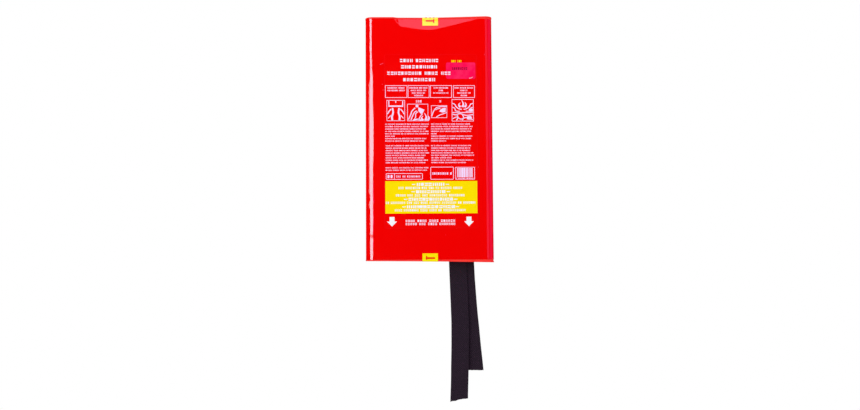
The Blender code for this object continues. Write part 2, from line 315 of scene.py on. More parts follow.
class Look:
    """A new material, with what is the same all over set on its Principled shader's sockets."""

    def __init__(self, name, color, roughness, **sockets):
        self.material = bpy.data.materials.new(name)
        self.material.use_nodes = True
        self.shader = self.material.node_tree.nodes["Principled BSDF"]
        sockets = {"Base_Color": (*color, 1.0), "Roughness": roughness, **sockets}
        for socket, value in sockets.items():
            self.shader.inputs[socket.replace("_", " ")].default_value = value

    def link(self, source, target):
        self.material.node_tree.links.new(source, target)

    def node(self, kind, links=None, **values):
        """A new node. links says what goes into its inputs, values are set on its sockets or on it."""
        node = self.material.node_tree.nodes.new("ShaderNode" + kind)
        for name, value in values.items():
            socket = name.replace("_", " ")
            if socket in node.inputs:
                node.inputs[socket].default_value = value
            else:
                setattr(node, name, value)
        for target, source in (links or {}).items():
            self.link(source, node.inputs[target])
        return node

    def noise(self, scale, detail=3.0, stretch=(1, 1, 1), vector=None):
        """Noise over vector, or over the piece's own coordinates in metres, stretched along each axis."""
        if vector is None:
            place = self.node("TexCoord").outputs["Object"]
            vector = self.node("Mapping", {"Vector": place}, Scale=stretch).outputs["Vector"]
        return self.node("TexNoise", {"Vector": vector}, Scale=scale, Detail=detail).outputs["Fac"]

    def vary_roughness(self, value, low, high):
        spread = self.node("MapRange", {"Value": value}, From_Min=0.3, From_Max=0.7, To_Min=low, To_Max=high)
        self.link(spread.outputs["Result"], self.shader.inputs["Roughness"])

    def blend_colors(self, value, low, high, start=0.35, end=0.65):
        """Base colour between two colours, by a value."""
        ramp = self.node("ValToRGB", {"Fac": value})
        for element, place, color in zip(ramp.color_ramp.elements, (start, end), (low, high)):
            element.position = place
            element.color = (*color, 1.0)
        self.link(ramp.outputs["Color"], self.shader.inputs["Base Color"])

    def bump(self, height, distance):
        """Add a bump over those that are there already."""
        bump = self.node("Bump", {"Height": height}, Strength=1.0, Distance=distance)
        normal = self.shader.inputs["Normal"]
        if normal.is_linked:
            self.link(normal.links[0].from_socket, bump.inputs["Normal"])
        self.link(bump.outputs["Normal"], normal)

    def weave(self, pitch):
        """Flat coordinates in metres, and threads that pass over and under each other on them."""
        uv = self.node("UVMap", uv_map="flat").outputs["UV"]
        waves = []
        for part in self.node("SeparateXYZ", {0: uv}).outputs[:2]:
            turns = self.node("Math", {0: part}, operation="MULTIPLY")
            turns.inputs[1].default_value = 2 * pi / pitch
            waves.append(self.node("Math", {0: turns.outputs[0]}, operation="SINE").outputs[0])
        return uv, self.node("Math", {0: waves[0], 1: waves[1]}, operation="MULTIPLY").outputs[0]


def case_plastic():
    """Glossy extruded plastic: faint die lines along the tube, smudges and fine wear."""
    look = Look("case_plastic", (0.887, 0.0, 0.0), 0.1, IOR=1.5)
    look.vary_roughness(look.noise(22.0, 5.0), 0.02, 0.06)
    look.blend_colors(look.noise(9.0), (0.877, 0.0, 0.0), (0.897, 0.0, 0.0))
    look.bump(look.noise(1.0, 2.0, stretch=(420, 420, 5)), 0.0012 * MM)
    look.bump(look.noise(85.0, 1.0, stretch=(1, 1, 0.5)), 0.006 * MM)
    return look.material


def cap_plastic():
    """Moulded plastic with a fine grain, a little lighter where it is rubbed."""
    look = Look("cap_plastic", (0.94, 0.018, 0.007), 0.3, IOR=1.48, Specular_IOR_Level=0.28)
    look.bump(look.noise(1900.0, 2.0), 0.012 * MM)
    wear = look.noise(60.0, 6.0)
    look.vary_roughness(wear, 0.24, 0.42)
    look.blend_colors(wear, (0.91, 0.013, 0.004), (0.96, 0.026, 0.010))
    return look.material


def ink(name, color):
    """Printed ink under a glossy laminate: a slightly mottled coat."""
    look = Look(name, color, 0.07, IOR=1.45)
    mottle = look.noise(900.0)
    look.blend_colors(mottle, [channel * 0.965 for channel in color], color)
    look.vary_roughness(mottle, 0.04, 0.10)
    look.bump(mottle, 0.001 * MM)
    return look.material


def sticker_vinyl(name, color, darker, gloss=1.5):
    """Printed sticker stock: soft gloss, faint orange peel and tiny colour changes."""
    look = Look(name, color, 0.08, IOR=gloss)
    cloud = look.noise(130.0, 4.0)
    look.blend_colors(cloud, darker, color)
    look.vary_roughness(cloud, 0.05, 0.11)
    look.bump(look.noise(1300.0, 2.0), 0.0012 * MM)
    return look.material


def clear_film():
    """Laminate over the case: nearly all of what shows is the red under it."""
    look = Look("clear_film", (0.88, 0.0, 0.0), 0.12, IOR=1.5)
    haze = look.noise(45.0, 4.0)
    look.vary_roughness(haze, 0.03, 0.07)
    look.blend_colors(haze, (0.87, 0.0, 0.0), (0.895, 0.0005, 0.0005))
    look.bump(look.noise(420.0, 2.0), 0.0010 * MM)
    return look.material


def webbing():
    """Black woven tape with a dull sheen on its yarns and a little lint."""
    look = Look(
        "webbing", (0.015, 0.004, 0.013), 0.85, Specular_IOR_Level=0.18, Sheen_Weight=0.05,
        Sheen_Roughness=0.5,
    )
    uv, threads = look.weave(2.2 * MM)
    look.blend_colors(threads, (0.002, 0.0004, 0.002), (0.050, 0.0115, 0.044), 0.0, 1.0)
    look.bump(threads, 0.10 * MM)
    look.bump(look.noise(2600.0, vector=uv), 0.05 * MM)
    return look.material


def glass_cloth():
    """Woven glass fibre with a coating: off-white, close weave, slightly silky."""
    look = Look("glass_cloth", (0.80, 0.785, 0.735), 0.6, Sheen_Weight=0.15)
    uv, threads = look.weave(1.4 * MM)
    look.blend_colors(threads, (0.70, 0.685, 0.63), (0.84, 0.825, 0.78), 0.0, 1.0)
    look.bump(threads, 0.09 * MM)
    slubs = look.noise(240.0, 5.0, vector=uv)
    look.bump(slubs, 0.05 * MM)
    look.vary_roughness(slubs, 0.5, 0.75)
    return look.material


def thread():
    """Twisted sewing thread."""
    look = Look("thread", (0.58, 0.56, 0.50), 0.6)
    strands = look.noise(3200.0, 2.0, stretch=(1, 1, 2))
    look.blend_colors(strands, (0.46, 0.44, 0.38), (0.66, 0.64, 0.58))
    look.bump(strands, 0.04 * MM)
    return look.material


def paper_floor():
    look = Look("floor_paper", (0.92, 0.92, 0.92), 0.9)
    look.blend_colors(look.noise(30.0, 4.0), (0.91, 0.91, 0.91), (0.93, 0.93, 0.93))
    return look.material


# Camera

CAMERA_TARGET = Vector((0.23 * MM, FRONT, -78.19 * MM))
CAMERA_DISTANCE = 1.0
CAMERA_AZIMUTH = 1.60  # to the left of the front, in degrees
CAMERA_ELEVATION = -3.43
CAMERA_ROLL = radians(-0.34)
CAMERA_LENS = 36.07


def direction(azimuth, elevation):
    """Unit vector out from the object. Azimuth is to the left of the front, both are in degrees."""
    azimuth, elevation = radians(azimuth), radians(elevation)
    return Vector((-sin(azimuth) * cos(elevation), -cos(azimuth) * cos(elevation), sin(elevation)))


def make_camera():
    data = bpy.data.cameras.new("camera")
    data.lens = CAMERA_LENS
    data.sensor_width = 36.0
    data.clip_start = 0.05
    data.clip_end = 50.0
    ahead = -direction(CAMERA_AZIMUTH, CAMERA_ELEVATION)
    right = ahead.cross(Vector((0, 0, 1))).normalized()
    up = right.cross(ahead)
    rolled_right = cos(CAMERA_ROLL) * right + sin(CAMERA_ROLL) * up
    rolled_up = cos(CAMERA_ROLL) * up - sin(CAMERA_ROLL) * right
    camera = bpy.data.objects.new("camera", data)
    bpy.context.collection.objects.link(camera)
    turn = Matrix((rolled_right, rolled_up, -ahead)).transposed().to_4x4()
    camera.matrix_world = Matrix.Translation(CAMERA_TARGET - ahead * CAMERA_DISTANCE) @ turn
    bpy.context.scene.camera = camera


# Pull tapes, which are free cords. The routes keep within 1.5 mm of part.py's, in metres.

PACK_LOW, PACK_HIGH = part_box("folded_blanket")
TAPE_SEWN_TOP = PACK_LOW.z + 0.038
TAPE_ON_FRONT = PACK_LOW.y - 0.0009
TAPE_ON_BACK = PACK_HIGH.y + 0.0009
SLOT_MIDDLE = -0.018
FRONT_IN_SLOT = SLOT_MIDDLE - 0.0011
REAR_IN_SLOT = SLOT_MIDDLE + 0.0011

FRONT_TAPE = [
    (0.0328, TAPE_ON_FRONT, TAPE_SEWN_TOP),
    (0.0330, TAPE_ON_FRONT, PACK_LOW.z + 0.004),
    (0.0331, TAPE_ON_FRONT + 0.0020, PACK_LOW.z - 0.006),
    (0.0333, FRONT_IN_SLOT - 0.0030, PACK_LOW.z - 0.0165),
    (0.0329, FRONT_IN_SLOT, -0.1440),
    (0.0338, FRONT_IN_SLOT, -0.1720),
    (0.0351, FRONT_IN_SLOT - 0.0006, -0.2160),
    (0.0345, FRONT_IN_SLOT - 0.0008, -0.2650),
    (0.0334, FRONT_IN_SLOT, -0.3045),
]
REAR_TAPE = [
    (0.0415, TAPE_ON_BACK, TAPE_SEWN_TOP),
    (0.0416, TAPE_ON_BACK, PACK_LOW.z + 0.004),
    (0.0417, TAPE_ON_BACK - 0.0018, PACK_LOW.z - 0.006),
    (0.0418, REAR_IN_SLOT + 0.0026, PACK_LOW.z - 0.0165),
    (0.0420, REAR_IN_SLOT, -0.1440),
    (0.0434, REAR_IN_SLOT, -0.1720),
    (0.0466, REAR_IN_SLOT + 0.0006, -0.2127),
    (0.0521, REAR_IN_SLOT + 0.0012, -0.2707),
]


def front_cut(across):
    """How much further the front tape's cut end reaches, from its left (-1) to its right edge (1)."""
    ragged = 0.3 * MM * noise.noise(Vector((across * 6, 0, 4)))
    left_step = 1.1 * MM * smoothstep(0.05, 0.45, -across) + 0.5 * MM * smoothstep(0.85, 1.0, -across)
    right_step = -0.35 * MM * smoothstep(-0.1, 0.3, across)
    return -1.1 * MM * across + left_step + right_step + ragged


def rear_cut(across):
    return 0.4 * MM * noise.noise(Vector((across * 5, 3, 1))) + 1.2 * MM * across + 0.4 * MM


def tape_half_thickness(across, along):
    """Half the tape's thickness: ribs across it, a flat selvedge at each edge."""
    edge = abs(across)
    body = 0.36 if edge < 0.86 else 0.44
    if edge > 0.97:
        body = 0.30
    rib = 0.11 * cos(2 * pi * along / RIB_PITCH + 1.2 * pi * edge)
    groove = -0.12 * (0.84 < edge < 0.88)
    return TAPE_THICKNESS * (body + (rib if edge < 0.86 else 0.3 * rib) + groove)


def build_tape(name, node, points, cut_end, material):
    route = smooth_route(points, TAPE_STEP)
    bm = bmesh.new()
    flat = bm.loops.layers.uv.new("flat")
    layers = {1: [], -1: []}
    coordinates = {}
    last = len(route) - 1
    travelled = 0.0
    for i, point in enumerate(route):
        ahead = (route[min(i + 1, last)] - route[max(i - 1, 0)]).normalized()
        normal = Vector((0, -ahead.z, ahead.y)).normalized()
        side = ahead.cross(normal).normalized()
        travelled += (point - route[i - 1]).length if i else 0.0
        for face in (1, -1):
            row = []
            for column in range(TAPE_COLUMNS + 1):
                across = 2 * column / TAPE_COLUMNS - 1
                wander = 0.15 * MM * noise.noise(Vector((2.0 * (across > 0), 5, travelled * 45)))
                sideways = across * TAPE_WIDTH / 2 + wander * abs(across)
                reach = cut_end(across) * smoothstep(last - 20, last, i)
                lift = face * tape_half_thickness(across, travelled)
                vert = bm.verts.new(point + side * sideways + ahead * reach + normal * lift)
                coordinates[vert] = (sideways, travelled + reach)
                row.append(vert)
            layers[face].append(row)
    close_layers(bm, layers)
    write_flat(bm, flat, coordinates)
    obj = new_piece(name, bm, material, "blanket", [node], 60)


# Blanket: one sheet of glass cloth, folded in nine across and in seven along

PANELS_ACROSS = 9
PANELS_ALONG = 7
PITCH = (PACK_HIGH.y - PACK_LOW.y) / (PANELS_ACROSS * PANELS_ALONG)
STACK = PANELS_ACROSS * PITCH
LAYER_PITCH = 0.84 * PITCH  # pressed together within a stack, so that the stacks stay apart
CLOTH_THICKNESS = 0.7 * PITCH
FOLD_JITTER = 0.9 * MM
STACK_ROUNDING = 2.0 * MM
LAYER_SLIP = 0.7 * MM
STACK_SLIP = 1.2 * MM


def serpentine(reach, gap, panels, steps, rounding, seed):
    """A line folded back and forth: (along, offset, its normal's two parts, length so far) for each point.

    Its runs are gap apart and end at about -reach and reach, where half turns join them. steps are
    those of a run and of a turn, rounding is how much sooner the outermost runs end than the middle.
    """
    run_steps, turn_steps = steps
    rng = random.Random(seed)
    ends = []
    for turn in range(panels + 1):
        shortened = rounding * (1 - sin(pi * (turn + 0.5) / (panels + 1)))
        ends.append(reach - rng.random() * FOLD_JITTER - shortened)
    radius = gap / 2
    rows, length = [], 0.0
    for panel in range(panels):
        heading = 1 if panel % 2 == 0 else -1
        start, end = -heading * ends[panel], heading * ends[panel + 1]
        last = panel == panels - 1
        for step in range(run_steps + last):
            share = step / run_steps
            travelled = length + abs(end - start) * share
            rows.append((start + (end - start) * share, panel * gap, 0, -heading, travelled))
        length += abs(end - start)
        for step in range(0 if last else turn_steps):
            angle = pi * step / turn_steps
            along = end + heading * radius * sin(angle)
            offset = panel * gap + radius * (1 - cos(angle))
            rows.append((along, offset, sin(angle), -heading * cos(angle), length + radius * angle))
        length += pi * radius
    return rows


def cloth_drift(point):
    """Slow unevenness of the whole pack, and the hollow that the dented wall presses into it."""
    x, y, z = point
    depth = (PACK_HIGH.y - y) / (PACK_HIGH.y - PACK_LOW.y)
    sway = noise.noise(Vector((x * 26, 2.0, z * 20)))
    bulge = noise.noise(Vector((x * 60, 9.0, z * 45)))
    hollow = max(0.0, depth) * min(2.6 * MM, dent_depth(x, z + 1.5 * MM))
    push = 0.30 * MM * (sway - 0.5) * (2 * depth - 1) - 0.10 * MM * bulge * depth
    return Vector((0.5 * MM * sway, hollow - push, 0.4 * MM * bulge))


def build_blanket(material):
    middle = (PACK_LOW + PACK_HIGH) / 2
    half_width = (PACK_HIGH.x - PACK_LOW.x) / 2 - PITCH - STACK_SLIP / 2
    half_height = (PACK_HIGH.z - PACK_LOW.z) / 2 - STACK - 0.5 * MM
    across_rows = serpentine(half_width, LAYER_PITCH, PANELS_ACROSS, (8, 4), STACK_ROUNDING, SEED + 10)
    along_rows = serpentine(half_height, STACK, PANELS_ALONG, (24, 8), 0, SEED + 11)
    bm = bmesh.new()
    flat = bm.loops.layers.uv.new("flat")
    sides = {1: [], -1: []}
    coordinates = {}
    for z, y, n_z, n_y, travelled in along_rows:
        for side in (1, -1):
            row = []
            for x, stacked, n_x, n_stack, crossed in across_rows:
                stack = stacked - (PANELS_ACROSS - 1) / 2 * LAYER_PITCH
                centre = Vector((x, y + n_y * stack, z + n_z * stack))
                normal = Vector((n_x, n_y * n_stack, n_z * n_stack))
                point = centre + normal * side * CLOTH_THICKNESS / 2
                point += Vector((middle.x, PACK_LOW.y + STACK / 2, middle.z))
                slip = LAYER_SLIP * noise.noise(Vector((crossed * 15, travelled * 12, 3)))
                slip += STACK_SLIP * noise.noise(Vector((0.5, travelled * 4.3, 11)))
                vert = bm.verts.new(point + cloth_drift(point) + Vector((slip, 0, 0)))
                coordinates[vert] = (crossed, travelled)
                row.append(vert)
            sides[side].append(row)
    close_layers(bm, sides)
    write_flat(bm, flat, coordinates)
    obj = new_piece("blanket_cloth", bm, material, "blanket", ["folded_blanket"], 60)


def pack_front(x, z):
    """The y of the pack's front cloth."""
    point = Vector((x, PACK_LOW.y, z))
    return PACK_LOW.y + cloth_drift(point).y


# Sewing

THREAD_RADIUS = 0.24 * MM
STITCH_LENGTH = 2.6 * MM
STITCH_GAP = 0.5 * MM
BOX_WIDTH = 15 * MM
BOX_HEIGHT = 30 * MM
HEM_WIDTH = 9 * MM


def add_stitch(bm, start, end, side):
    """One stitch on the surface: a thread that rises out of the cloth and dives in again."""
    ahead = (end - start).normalized()
    out = Vector((0, side, 0))
    aside = ahead.cross(out)
    rings = []
    for share, size in ((0.0, 0.35), (0.12, 0.85), (0.35, 1.0), (0.65, 1.0), (0.88, 0.85), (1.0, 0.35)):
        rise = THREAD_RADIUS * (1.1 * sin(pi * share) - 0.45)
        centre = start.lerp(end, share) + out * rise
        ring = []
        for corner in range(6):
            angle = 2 * pi * corner / 6
            spoke = cos(angle) * aside + sin(angle) * out
            ring.append(bm.verts.new(centre + spoke * THREAD_RADIUS * size))
        rings.append(ring)
    bridge_solid(bm, rings)


def add_seam(bm, start, end, surface, side):
    """Stitches in a row from start to end, both (x, z), on the surface y = surface(x, z)."""
    start, end = Vector((start[0], 0, start[1])), Vector((end[0], 0, end[1]))
    count = max(1, round((end - start).length / (STITCH_LENGTH + STITCH_GAP)))
    for stitch in range(count):
        ends = []
        for share in (stitch + 0.08, stitch + 0.92):
            point = start.lerp(end, share / count)
            point.y = surface(point.x, point.z)
            ends.append(point)
        add_stitch(bm, *ends, side)


def build_tape_sewing(name, node, x, tape_middle, side, material):
    """Box and cross stitch through a tape's sewn end."""
    surface = tape_middle + side * 0.36 * TAPE_THICKNESS
    middle = PACK_LOW.z + 20.5 * MM
    left, right = x - BOX_WIDTH / 2, x + BOX_WIDTH / 2
    low, high = middle - BOX_HEIGHT / 2, middle + BOX_HEIGHT / 2
    corners = [(left, low), (right, low), (right, high), (left, high)]
    bm = bmesh.new()
    for start, end in ((0, 1), (1, 2), (2, 3), (3, 0), (0, 2), (1, 3)):
        add_seam(bm, corners[start], corners[end], lambda x, z: surface, side)
    new_piece(name, bm, material, "blanket", [node], 60)


def build_hem(material):
    """Two rows of stitching along the free edges of the cloth's front panel."""
    bm = bmesh.new()
    tape_room = TAPE_WIDTH / 2 + 1 * MM
    for inset in (0.0, HEM_WIDTH):
        column, row = PACK_HIGH.x - 3 * MM - inset, PACK_LOW.z + 5 * MM + inset
        for start, end in (
            ((column, row), (column, PACK_HIGH.z - 12 * MM)),
            ((PACK_LOW.x + 4 * MM, row), (FRONT_TAPE[0][0] - tape_room, row)),
            ((FRONT_TAPE[0][0] + tape_room, row), (column, row)),
        ):
            add_seam(bm, start, end, pack_front, -1)
    new_piece("blanket_hem", bm, material, "blanket", smooth_angle=60)


# Case

KEYHOLES = (-0.040, 0.040)
KEYHOLE_HEIGHT = 0.098
KEYHOLE_ENTRY = 0.005
KEYHOLE_SLOT = 0.0025
KEYHOLE_RISE = 0.011
DENT_RINGS_FROM = 0.122
RING_PITCH_BY_DENT = 0.8 * MM
RING_PITCH = 3.5 * MM


def keyhole_outline(x):
    """A round entry with a narrower slot that rises out of it."""
    meeting = asin(KEYHOLE_SLOT / KEYHOLE_ENTRY)
    entry = (x, KEYHOLE_HEIGHT)
    top = (x, KEYHOLE_HEIGHT + KEYHOLE_RISE)
    points = arc(entry, KEYHOLE_ENTRY, pi / 2 + meeting, 5 * pi / 2 - meeting, 40)
    points += arc(top, KEYHOLE_SLOT, 0, pi, 16)
    return points


def ring_heights():
    """Heights of the tube's rings: close together by the dent, wider below."""
    heights = []
    z = -TUBE_END + EDGE_ROUND
    while z < TUBE_END - EDGE_ROUND:
        heights.append(z)
        z += RING_PITCH_BY_DENT if z > DENT_RINGS_FROM else RING_PITCH
    return [*heights, TUBE_END - EDGE_ROUND]


def build_case(material):
    heights = ring_heights()
    outside = [(EDGE_ROUND, -TUBE_END), *((0.0, z) for z in heights), (EDGE_ROUND, TUBE_END)]
    inside = [(WALL, TUBE_END), *((WALL, z) for z in reversed(heights[::2])), (WALL, -TUBE_END)]
    bm = bmesh.new()
    rings = []
    for inset, z in [*outside, *inside]:
        rings.append(ring_of(bm, [bent(x, y, z) for x, y in case_section(inset)]))
    bridge(bm, rings, closed=True)
    tube = new_piece("case_shell", bm, material, "case", ["case_tube"])
    for keyhole in KEYHOLES:
        outline = keyhole_outline(keyhole)
        cut(tube, cutter_between(*([(x, y, z) for x, z in outline] for y in (-2 * WALL, WALL))))


# Caps: which end they are on, their gaps and their sag

TOP_CAP = (1, TOP_CAP_GAPS, TOP_CAP_SAG)
BOTTOM_CAP = (-1, BOTTOM_CAP_GAPS, BOTTOM_CAP_SAG)


def cap_offset(gaps, x):
    """Gap between the tube's end and a cap that stands out further on its right."""
    share = (x + HALF_WIDTH) / (2 * HALF_WIDTH)
    return gaps[0] + (gaps[1] - gaps[0]) * share


def cap_point(side, gaps, sag, x, y, out, lifted=1):
    """A point of a cap. out is its height over the flange's inner face, or over the tube's end."""
    dip = sag * (1 - min(1.0, (x / HALF_WIDTH) ** 2))
    lift = max(cap_offset(gaps, x) - dip, SHOULDER_GAP)
    return bent(x, y, side * (TUBE_END + lifted * lift + out))


def cap_rings():
    """(inset, lip, out, lifted) of a cap's rings: inside its plate, skirt, shoulder, flange, outer face."""
    skirt_outside = WALL + SKIRT_GAP
    skirt_inside = skirt_outside + SKIRT_WALL
    lead = 0.3 * MM
    rings = [(inset, 0, 0, 0) for inset in (*PLATE_INSETS, skirt_inside)]
    rings += [(skirt_inside, 0, -SKIRT_DEPTH + lead, 0), (skirt_inside - lead, 0, -SKIRT_DEPTH, 0)]
    rings += [(skirt_outside + lead, 0, -SKIRT_DEPTH, 0), (skirt_outside, 0, -SKIRT_DEPTH + lead, 0)]
    rings += [(skirt_outside, 0, -SKIRT_DEPTH / 2, 0), (skirt_outside, 0, SHOULDER_GAP, 0)]
    rings += [(SHOULDER_INSET, 0, SHOULDER_GAP, 0), (SHOULDER_INSET, 0, 0, 1), (0, CAP_LIP, 0, 1)]
    steps = 4
    for step in range(steps + 1):
        angle = pi / 2 * step / steps
        inset = CAP_ROUND * (1 - cos(angle))
        rings.append((inset, CAP_LIP, CAP_THICKNESS - CAP_ROUND * (1 - sin(angle)), 1))
    rings.append((4 * MM, 0, CAP_THICKNESS + 0.05 * MM, 1))
    rings += [(inset, 0, CAP_THICKNESS + CAP_CROWN, 1) for inset in reversed(PLATE_INSETS)]
    return rings


def build_cap(name, node, cap, material, body):
    bm = bmesh.new()
    rings = []
    for inset, lip, out, lifted in cap_rings():
        section = case_section(inset, lip)
        rings.append(ring_of(bm, [cap_point(*cap, x, y, out, lifted) for x, y in section]))
    bridge_solid(bm, rings)
    return new_piece(name, bm, material, body, [node])


SLOT_LEFT = 21.2 * MM
SLOT_RIGHT = 56.0 * MM
SLOT_DEPTH = 5.4 * MM


def slot_cutter():
    """The slot in the bottom cap, a long hole with round ends."""
    radius = SLOT_DEPTH / 2
    outline = arc((SLOT_RIGHT - radius, SLOT_MIDDLE), radius, -pi / 2, pi / 2, 16, whole=True)
    outline += arc((SLOT_LEFT + radius, SLOT_MIDDLE), radius, pi / 2, 1.5 * pi, 16, whole=True)
    depths = (-TUBE_END - 6 * MM, -TUBE_END + 2 * MM)
    return cutter_between(*([(x, y, z) for x, y in outline] for z in depths))


# Flat pieces on the front face

def lay_on_front(bm, lift):
    """Wrap a flat mesh on the front face. Its y is its own depth, zero at its back."""
    for vert in bm.verts:
        vert.co.y = front_y(vert.co.x, vert.co.z) - lift + vert.co.y


def sliced(bm, cell):
    """Cut flat faces into cells, so that they can follow a curved face."""
    xs = [vert.co.x for vert in bm.verts]
    zs = [vert.co.z for vert in bm.verts]
    for axis, low, high in ((0, min(xs), max(xs)), (2, min(zs), max(zs))):
        normal = Vector((axis == 0, 0, axis == 2))
        steps = int((high - low) / cell)
        for step in range(1, steps + 1):
            place = normal * (low + (high - low) * step / (steps + 1))
            geometry = [*bm.verts, *bm.edges, *bm.faces]
            bmesh.ops.bisect_plane(bm, geom=geometry, dist=1e-7, plane_co=place, plane_no=normal)


def thicken(bm, thickness):
    """Give flat faces a thickness towards -Y."""
    extruded = bmesh.ops.extrude_face_region(bm, geom=list(bm.faces))["geom"]
    moved = [item for item in extruded if isinstance(item, bmesh.types.BMVert)]
    bmesh.ops.translate(bm, verts=moved, vec=(0, -thickness, 0))


def add_outline(bm, outline):
    """One flat face from an outline in millimetres."""
    bm.faces.new(ring_of(bm, [(x * MM, 0, z * MM) for x, z in outline]))


def add_box(bm, left, right, low, high):
    add_outline(bm, [(left, low), (right, low), (right, high), (left, high)])


def add_frame(bm, left, right, low, high, line):
    """A rectangle's outline as four bars, in millimetres."""
    add_box(bm, left, right, high - line, high)
    add_box(bm, left, right, low, low + line)
    add_box(bm, left, left + line, low + line, high - line)
    add_box(bm, right - line, right, low + line, high - line)


def add_rounded_frame(bm, left, right, low, high, line, radius):
    """A rectangle's outline with round corners, in millimetres."""
    loops = []
    for inset in (0, line):
        edges = (left + inset, right - inset, low + inset, high - inset)
        loops.append(ring_of(bm, [(x * MM, 0, z * MM) for x, z in rounded_box(*edges, radius - inset)]))
    bridge(bm, loops)


def rounded_box(left, right, low, high, radius, steps=6):
    """Outline of a rectangle with round corners."""
    xs, zs = (left + radius, right - radius), (low + radius, high - radius)
    points = []
    for quarter, (i, j) in enumerate(((1, 0), (1, 1), (0, 1), (0, 0))):
        start = (quarter - 1) * pi / 2
        points += arc((xs[i], zs[j]), radius, start, start + pi / 2, steps, whole=True)
    return points


def printed(name, bm, material, lift=PRINT_LIFT, cell=None, thickness=PRINT_THICKNESS, replaced=()):
    """Finish a flat layer of print or sticker on the front face, cut into cells where it is wide."""
    if cell:
        sliced(bm, cell)
    thicken(bm, thickness)
    lay_on_front(bm, lift)
    new_piece(name, bm, material, "case", replaced, 40)


# Marks that stand in for letters: boxes as shares of a letter's width and height
BAR = 0.37
BLOCK = [(0, 1, 0, 1)]
UPRIGHT_BARS = [(0, BAR, 0, 1), (1 - BAR, 1, 0, 1)]
LEVEL_BARS = [(0, 1, 0, BAR), (0, 1, 1 - BAR, 1)]
WORD_GAP = 0.75


def add_word(bm, rng, left, low, height, letters, pitch, share=0.7):
    """A stand-in for a word: each letter is a block or two bars with a slit, never a real letter."""
    for letter in range(letters):
        start = left + letter * pitch
        width = pitch * share * rng.uniform(0.85, 1.1)
        for x_0, x_1, z_0, z_1 in rng.choice((BLOCK, UPRIGHT_BARS, UPRIGHT_BARS, LEVEL_BARS)):
            add_box(bm, start + x_0 * width, start + x_1 * width, low + z_0 * height, low + z_1 * height)


def add_line(bm, rng, left, right, low, height, words, share=0.7):
    """Words of the given letter counts, spread over a line. share is how wide a letter is in its room."""
    pitch = (right - left) / (sum(words) + WORD_GAP * (len(words) - 1))
    for letters in words:
        add_word(bm, rng, left, low, height, letters, pitch, share)
        left += (letters + WORD_GAP) * pitch


def words_for(width, pitch, rng):
    """Letter counts of the words that fill a line of text."""
    words, room = [], width / pitch
    while room > 2:
        words.append(min(rng.randint(2, 9), int(room)))
        room -= words[-1] + WORD_GAP
    return words


def add_text(bm, rng, left, right, top, shares):
    """A paragraph: top is its first line's upper edge, shares how much of the width each line fills."""
    for line, share in enumerate(shares):
        end = left + (right - left) * share
        low = top - line * TEXT_PITCH - TEXT_HEIGHT
        add_line(bm, rng, left, end, low, TEXT_HEIGHT, words_for(end - left, 1.05, rng))


# Layout of the label, in millimetres on the front face. A line is its left, right, low edge, height,
# the letter counts of its words, and how wide a letter is in its room where that isn't 0.7.

TITLE_LINES = [
    (-33.8, 11.7, 89.5, 3.7, (4, 7), 0.76),
    (-32.7, 10.5, 82.0, 3.7, (10,), 0.76),
    (-48.8, 26.4, 74.5, 3.7, (10, 4, 3), 0.76),
    (-30.2, 8.0, 66.9, 3.7, (9,), 0.76),
]
LOT_HEADING = (26.3, 38.8, 89.4, 2.5, (3, 3))
LOT_MARK = (27.0, 45.5, 80.4, 3.0, (8,))
CAPTION_BOXES = [(-51.4, -25.7), (-24.9, 0.3), (1.2, 26.5), (28.1, 53.4)]
CAPTION_LOW, CAPTION_HIGH = 47.35, 62.0
CAPTION_LINES = [(0.78, 0.80), (0.84, 0.72, 0.62, 0.42), (0.68, 0.20, 0.70), (0.86, 0.34, 0.62, 0.30)]
PARAGRAPHS = [
    (-51.3, -0.3, 17.0, (1.0, 0.98, 0.93, 0.99, 0.99, 0.22, 0.94, 0.89)),
    (-50.9, -0.3, -8.3, (1.0, 0.94, 0.96, 1.0, 0.92, 0.88, 0.97, 0.91)),
    (-50.9, -0.3, -34.1, (0.98, 0.95)),
    (2.1, 52.2, 17.0, (0.91, 0.97, 0.95, 0.93, 0.13, 0.96, 0.93, 0.35)),
    (2.1, 52.2, -8.3, (0.93, 0.91, 0.91, 0.98, 1.0, 0.47, 0.98, 0.81)),
]
TEXT_PITCH = 2.83
TEXT_HEIGHT = 1.33
PANEL = (-51.5, 55.3, -88.0, -50.3)
PANEL_LINES = [
    (-15.0, 17.4, -55.9, 3.4, (7,), 0.84),
    (-36.2, 38.4, -59.6, 2.5, (3, 8, 3, 3, 2, 6, 5)),
    (-15.9, 18.5, -64.4, 3.4, (8,), 0.84),
    (-39.2, 41.0, -68.2, 2.5, (5, 3, 3, 3, 9, 8)),
    (-24.6, 27.6, -73.2, 3.4, (13,), 0.84),
    (-51.0, 53.8, -76.8, 2.5, (2, 8, 3, 3, 4, 6, 8, 2, 7)),
    (-26.5, 29.8, -81.9, 3.4, (12,), 0.84),
    (-40.4, 42.2, -85.5, 2.5, (4, 8, 4, 4, 2, 12)),
]
DASHES = [(-54.2, -20.6, 22.5), (-62.7, -21.2, 23.6), (-71.5, -29.9, 32.1), (-80.2, -31.8, 33.9)]
DASH_LENGTH = 3.9
PULL_LINES = [(-28.0, 30.0, -97.9, 2.7, (4, 4, 4, 6)), (-28.0, 30.0, -101.5, 2.7, (5, 3, 4, 7))]
ARROWS = [(-49.7, -38.0), (39.7, 51.0)]
ARROW_TOP, ARROW_MIDDLE, ARROW_TIP = -91.9, -97.2, -103.0
ARROW_SHAFT = 5.8


def box_edges(node):
    """The left, right, low and high edge of a CAD node's box, in millimetres."""
    low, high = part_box(node)
    return [value / MM for value in (low.x, high.x, low.z, high.z)]


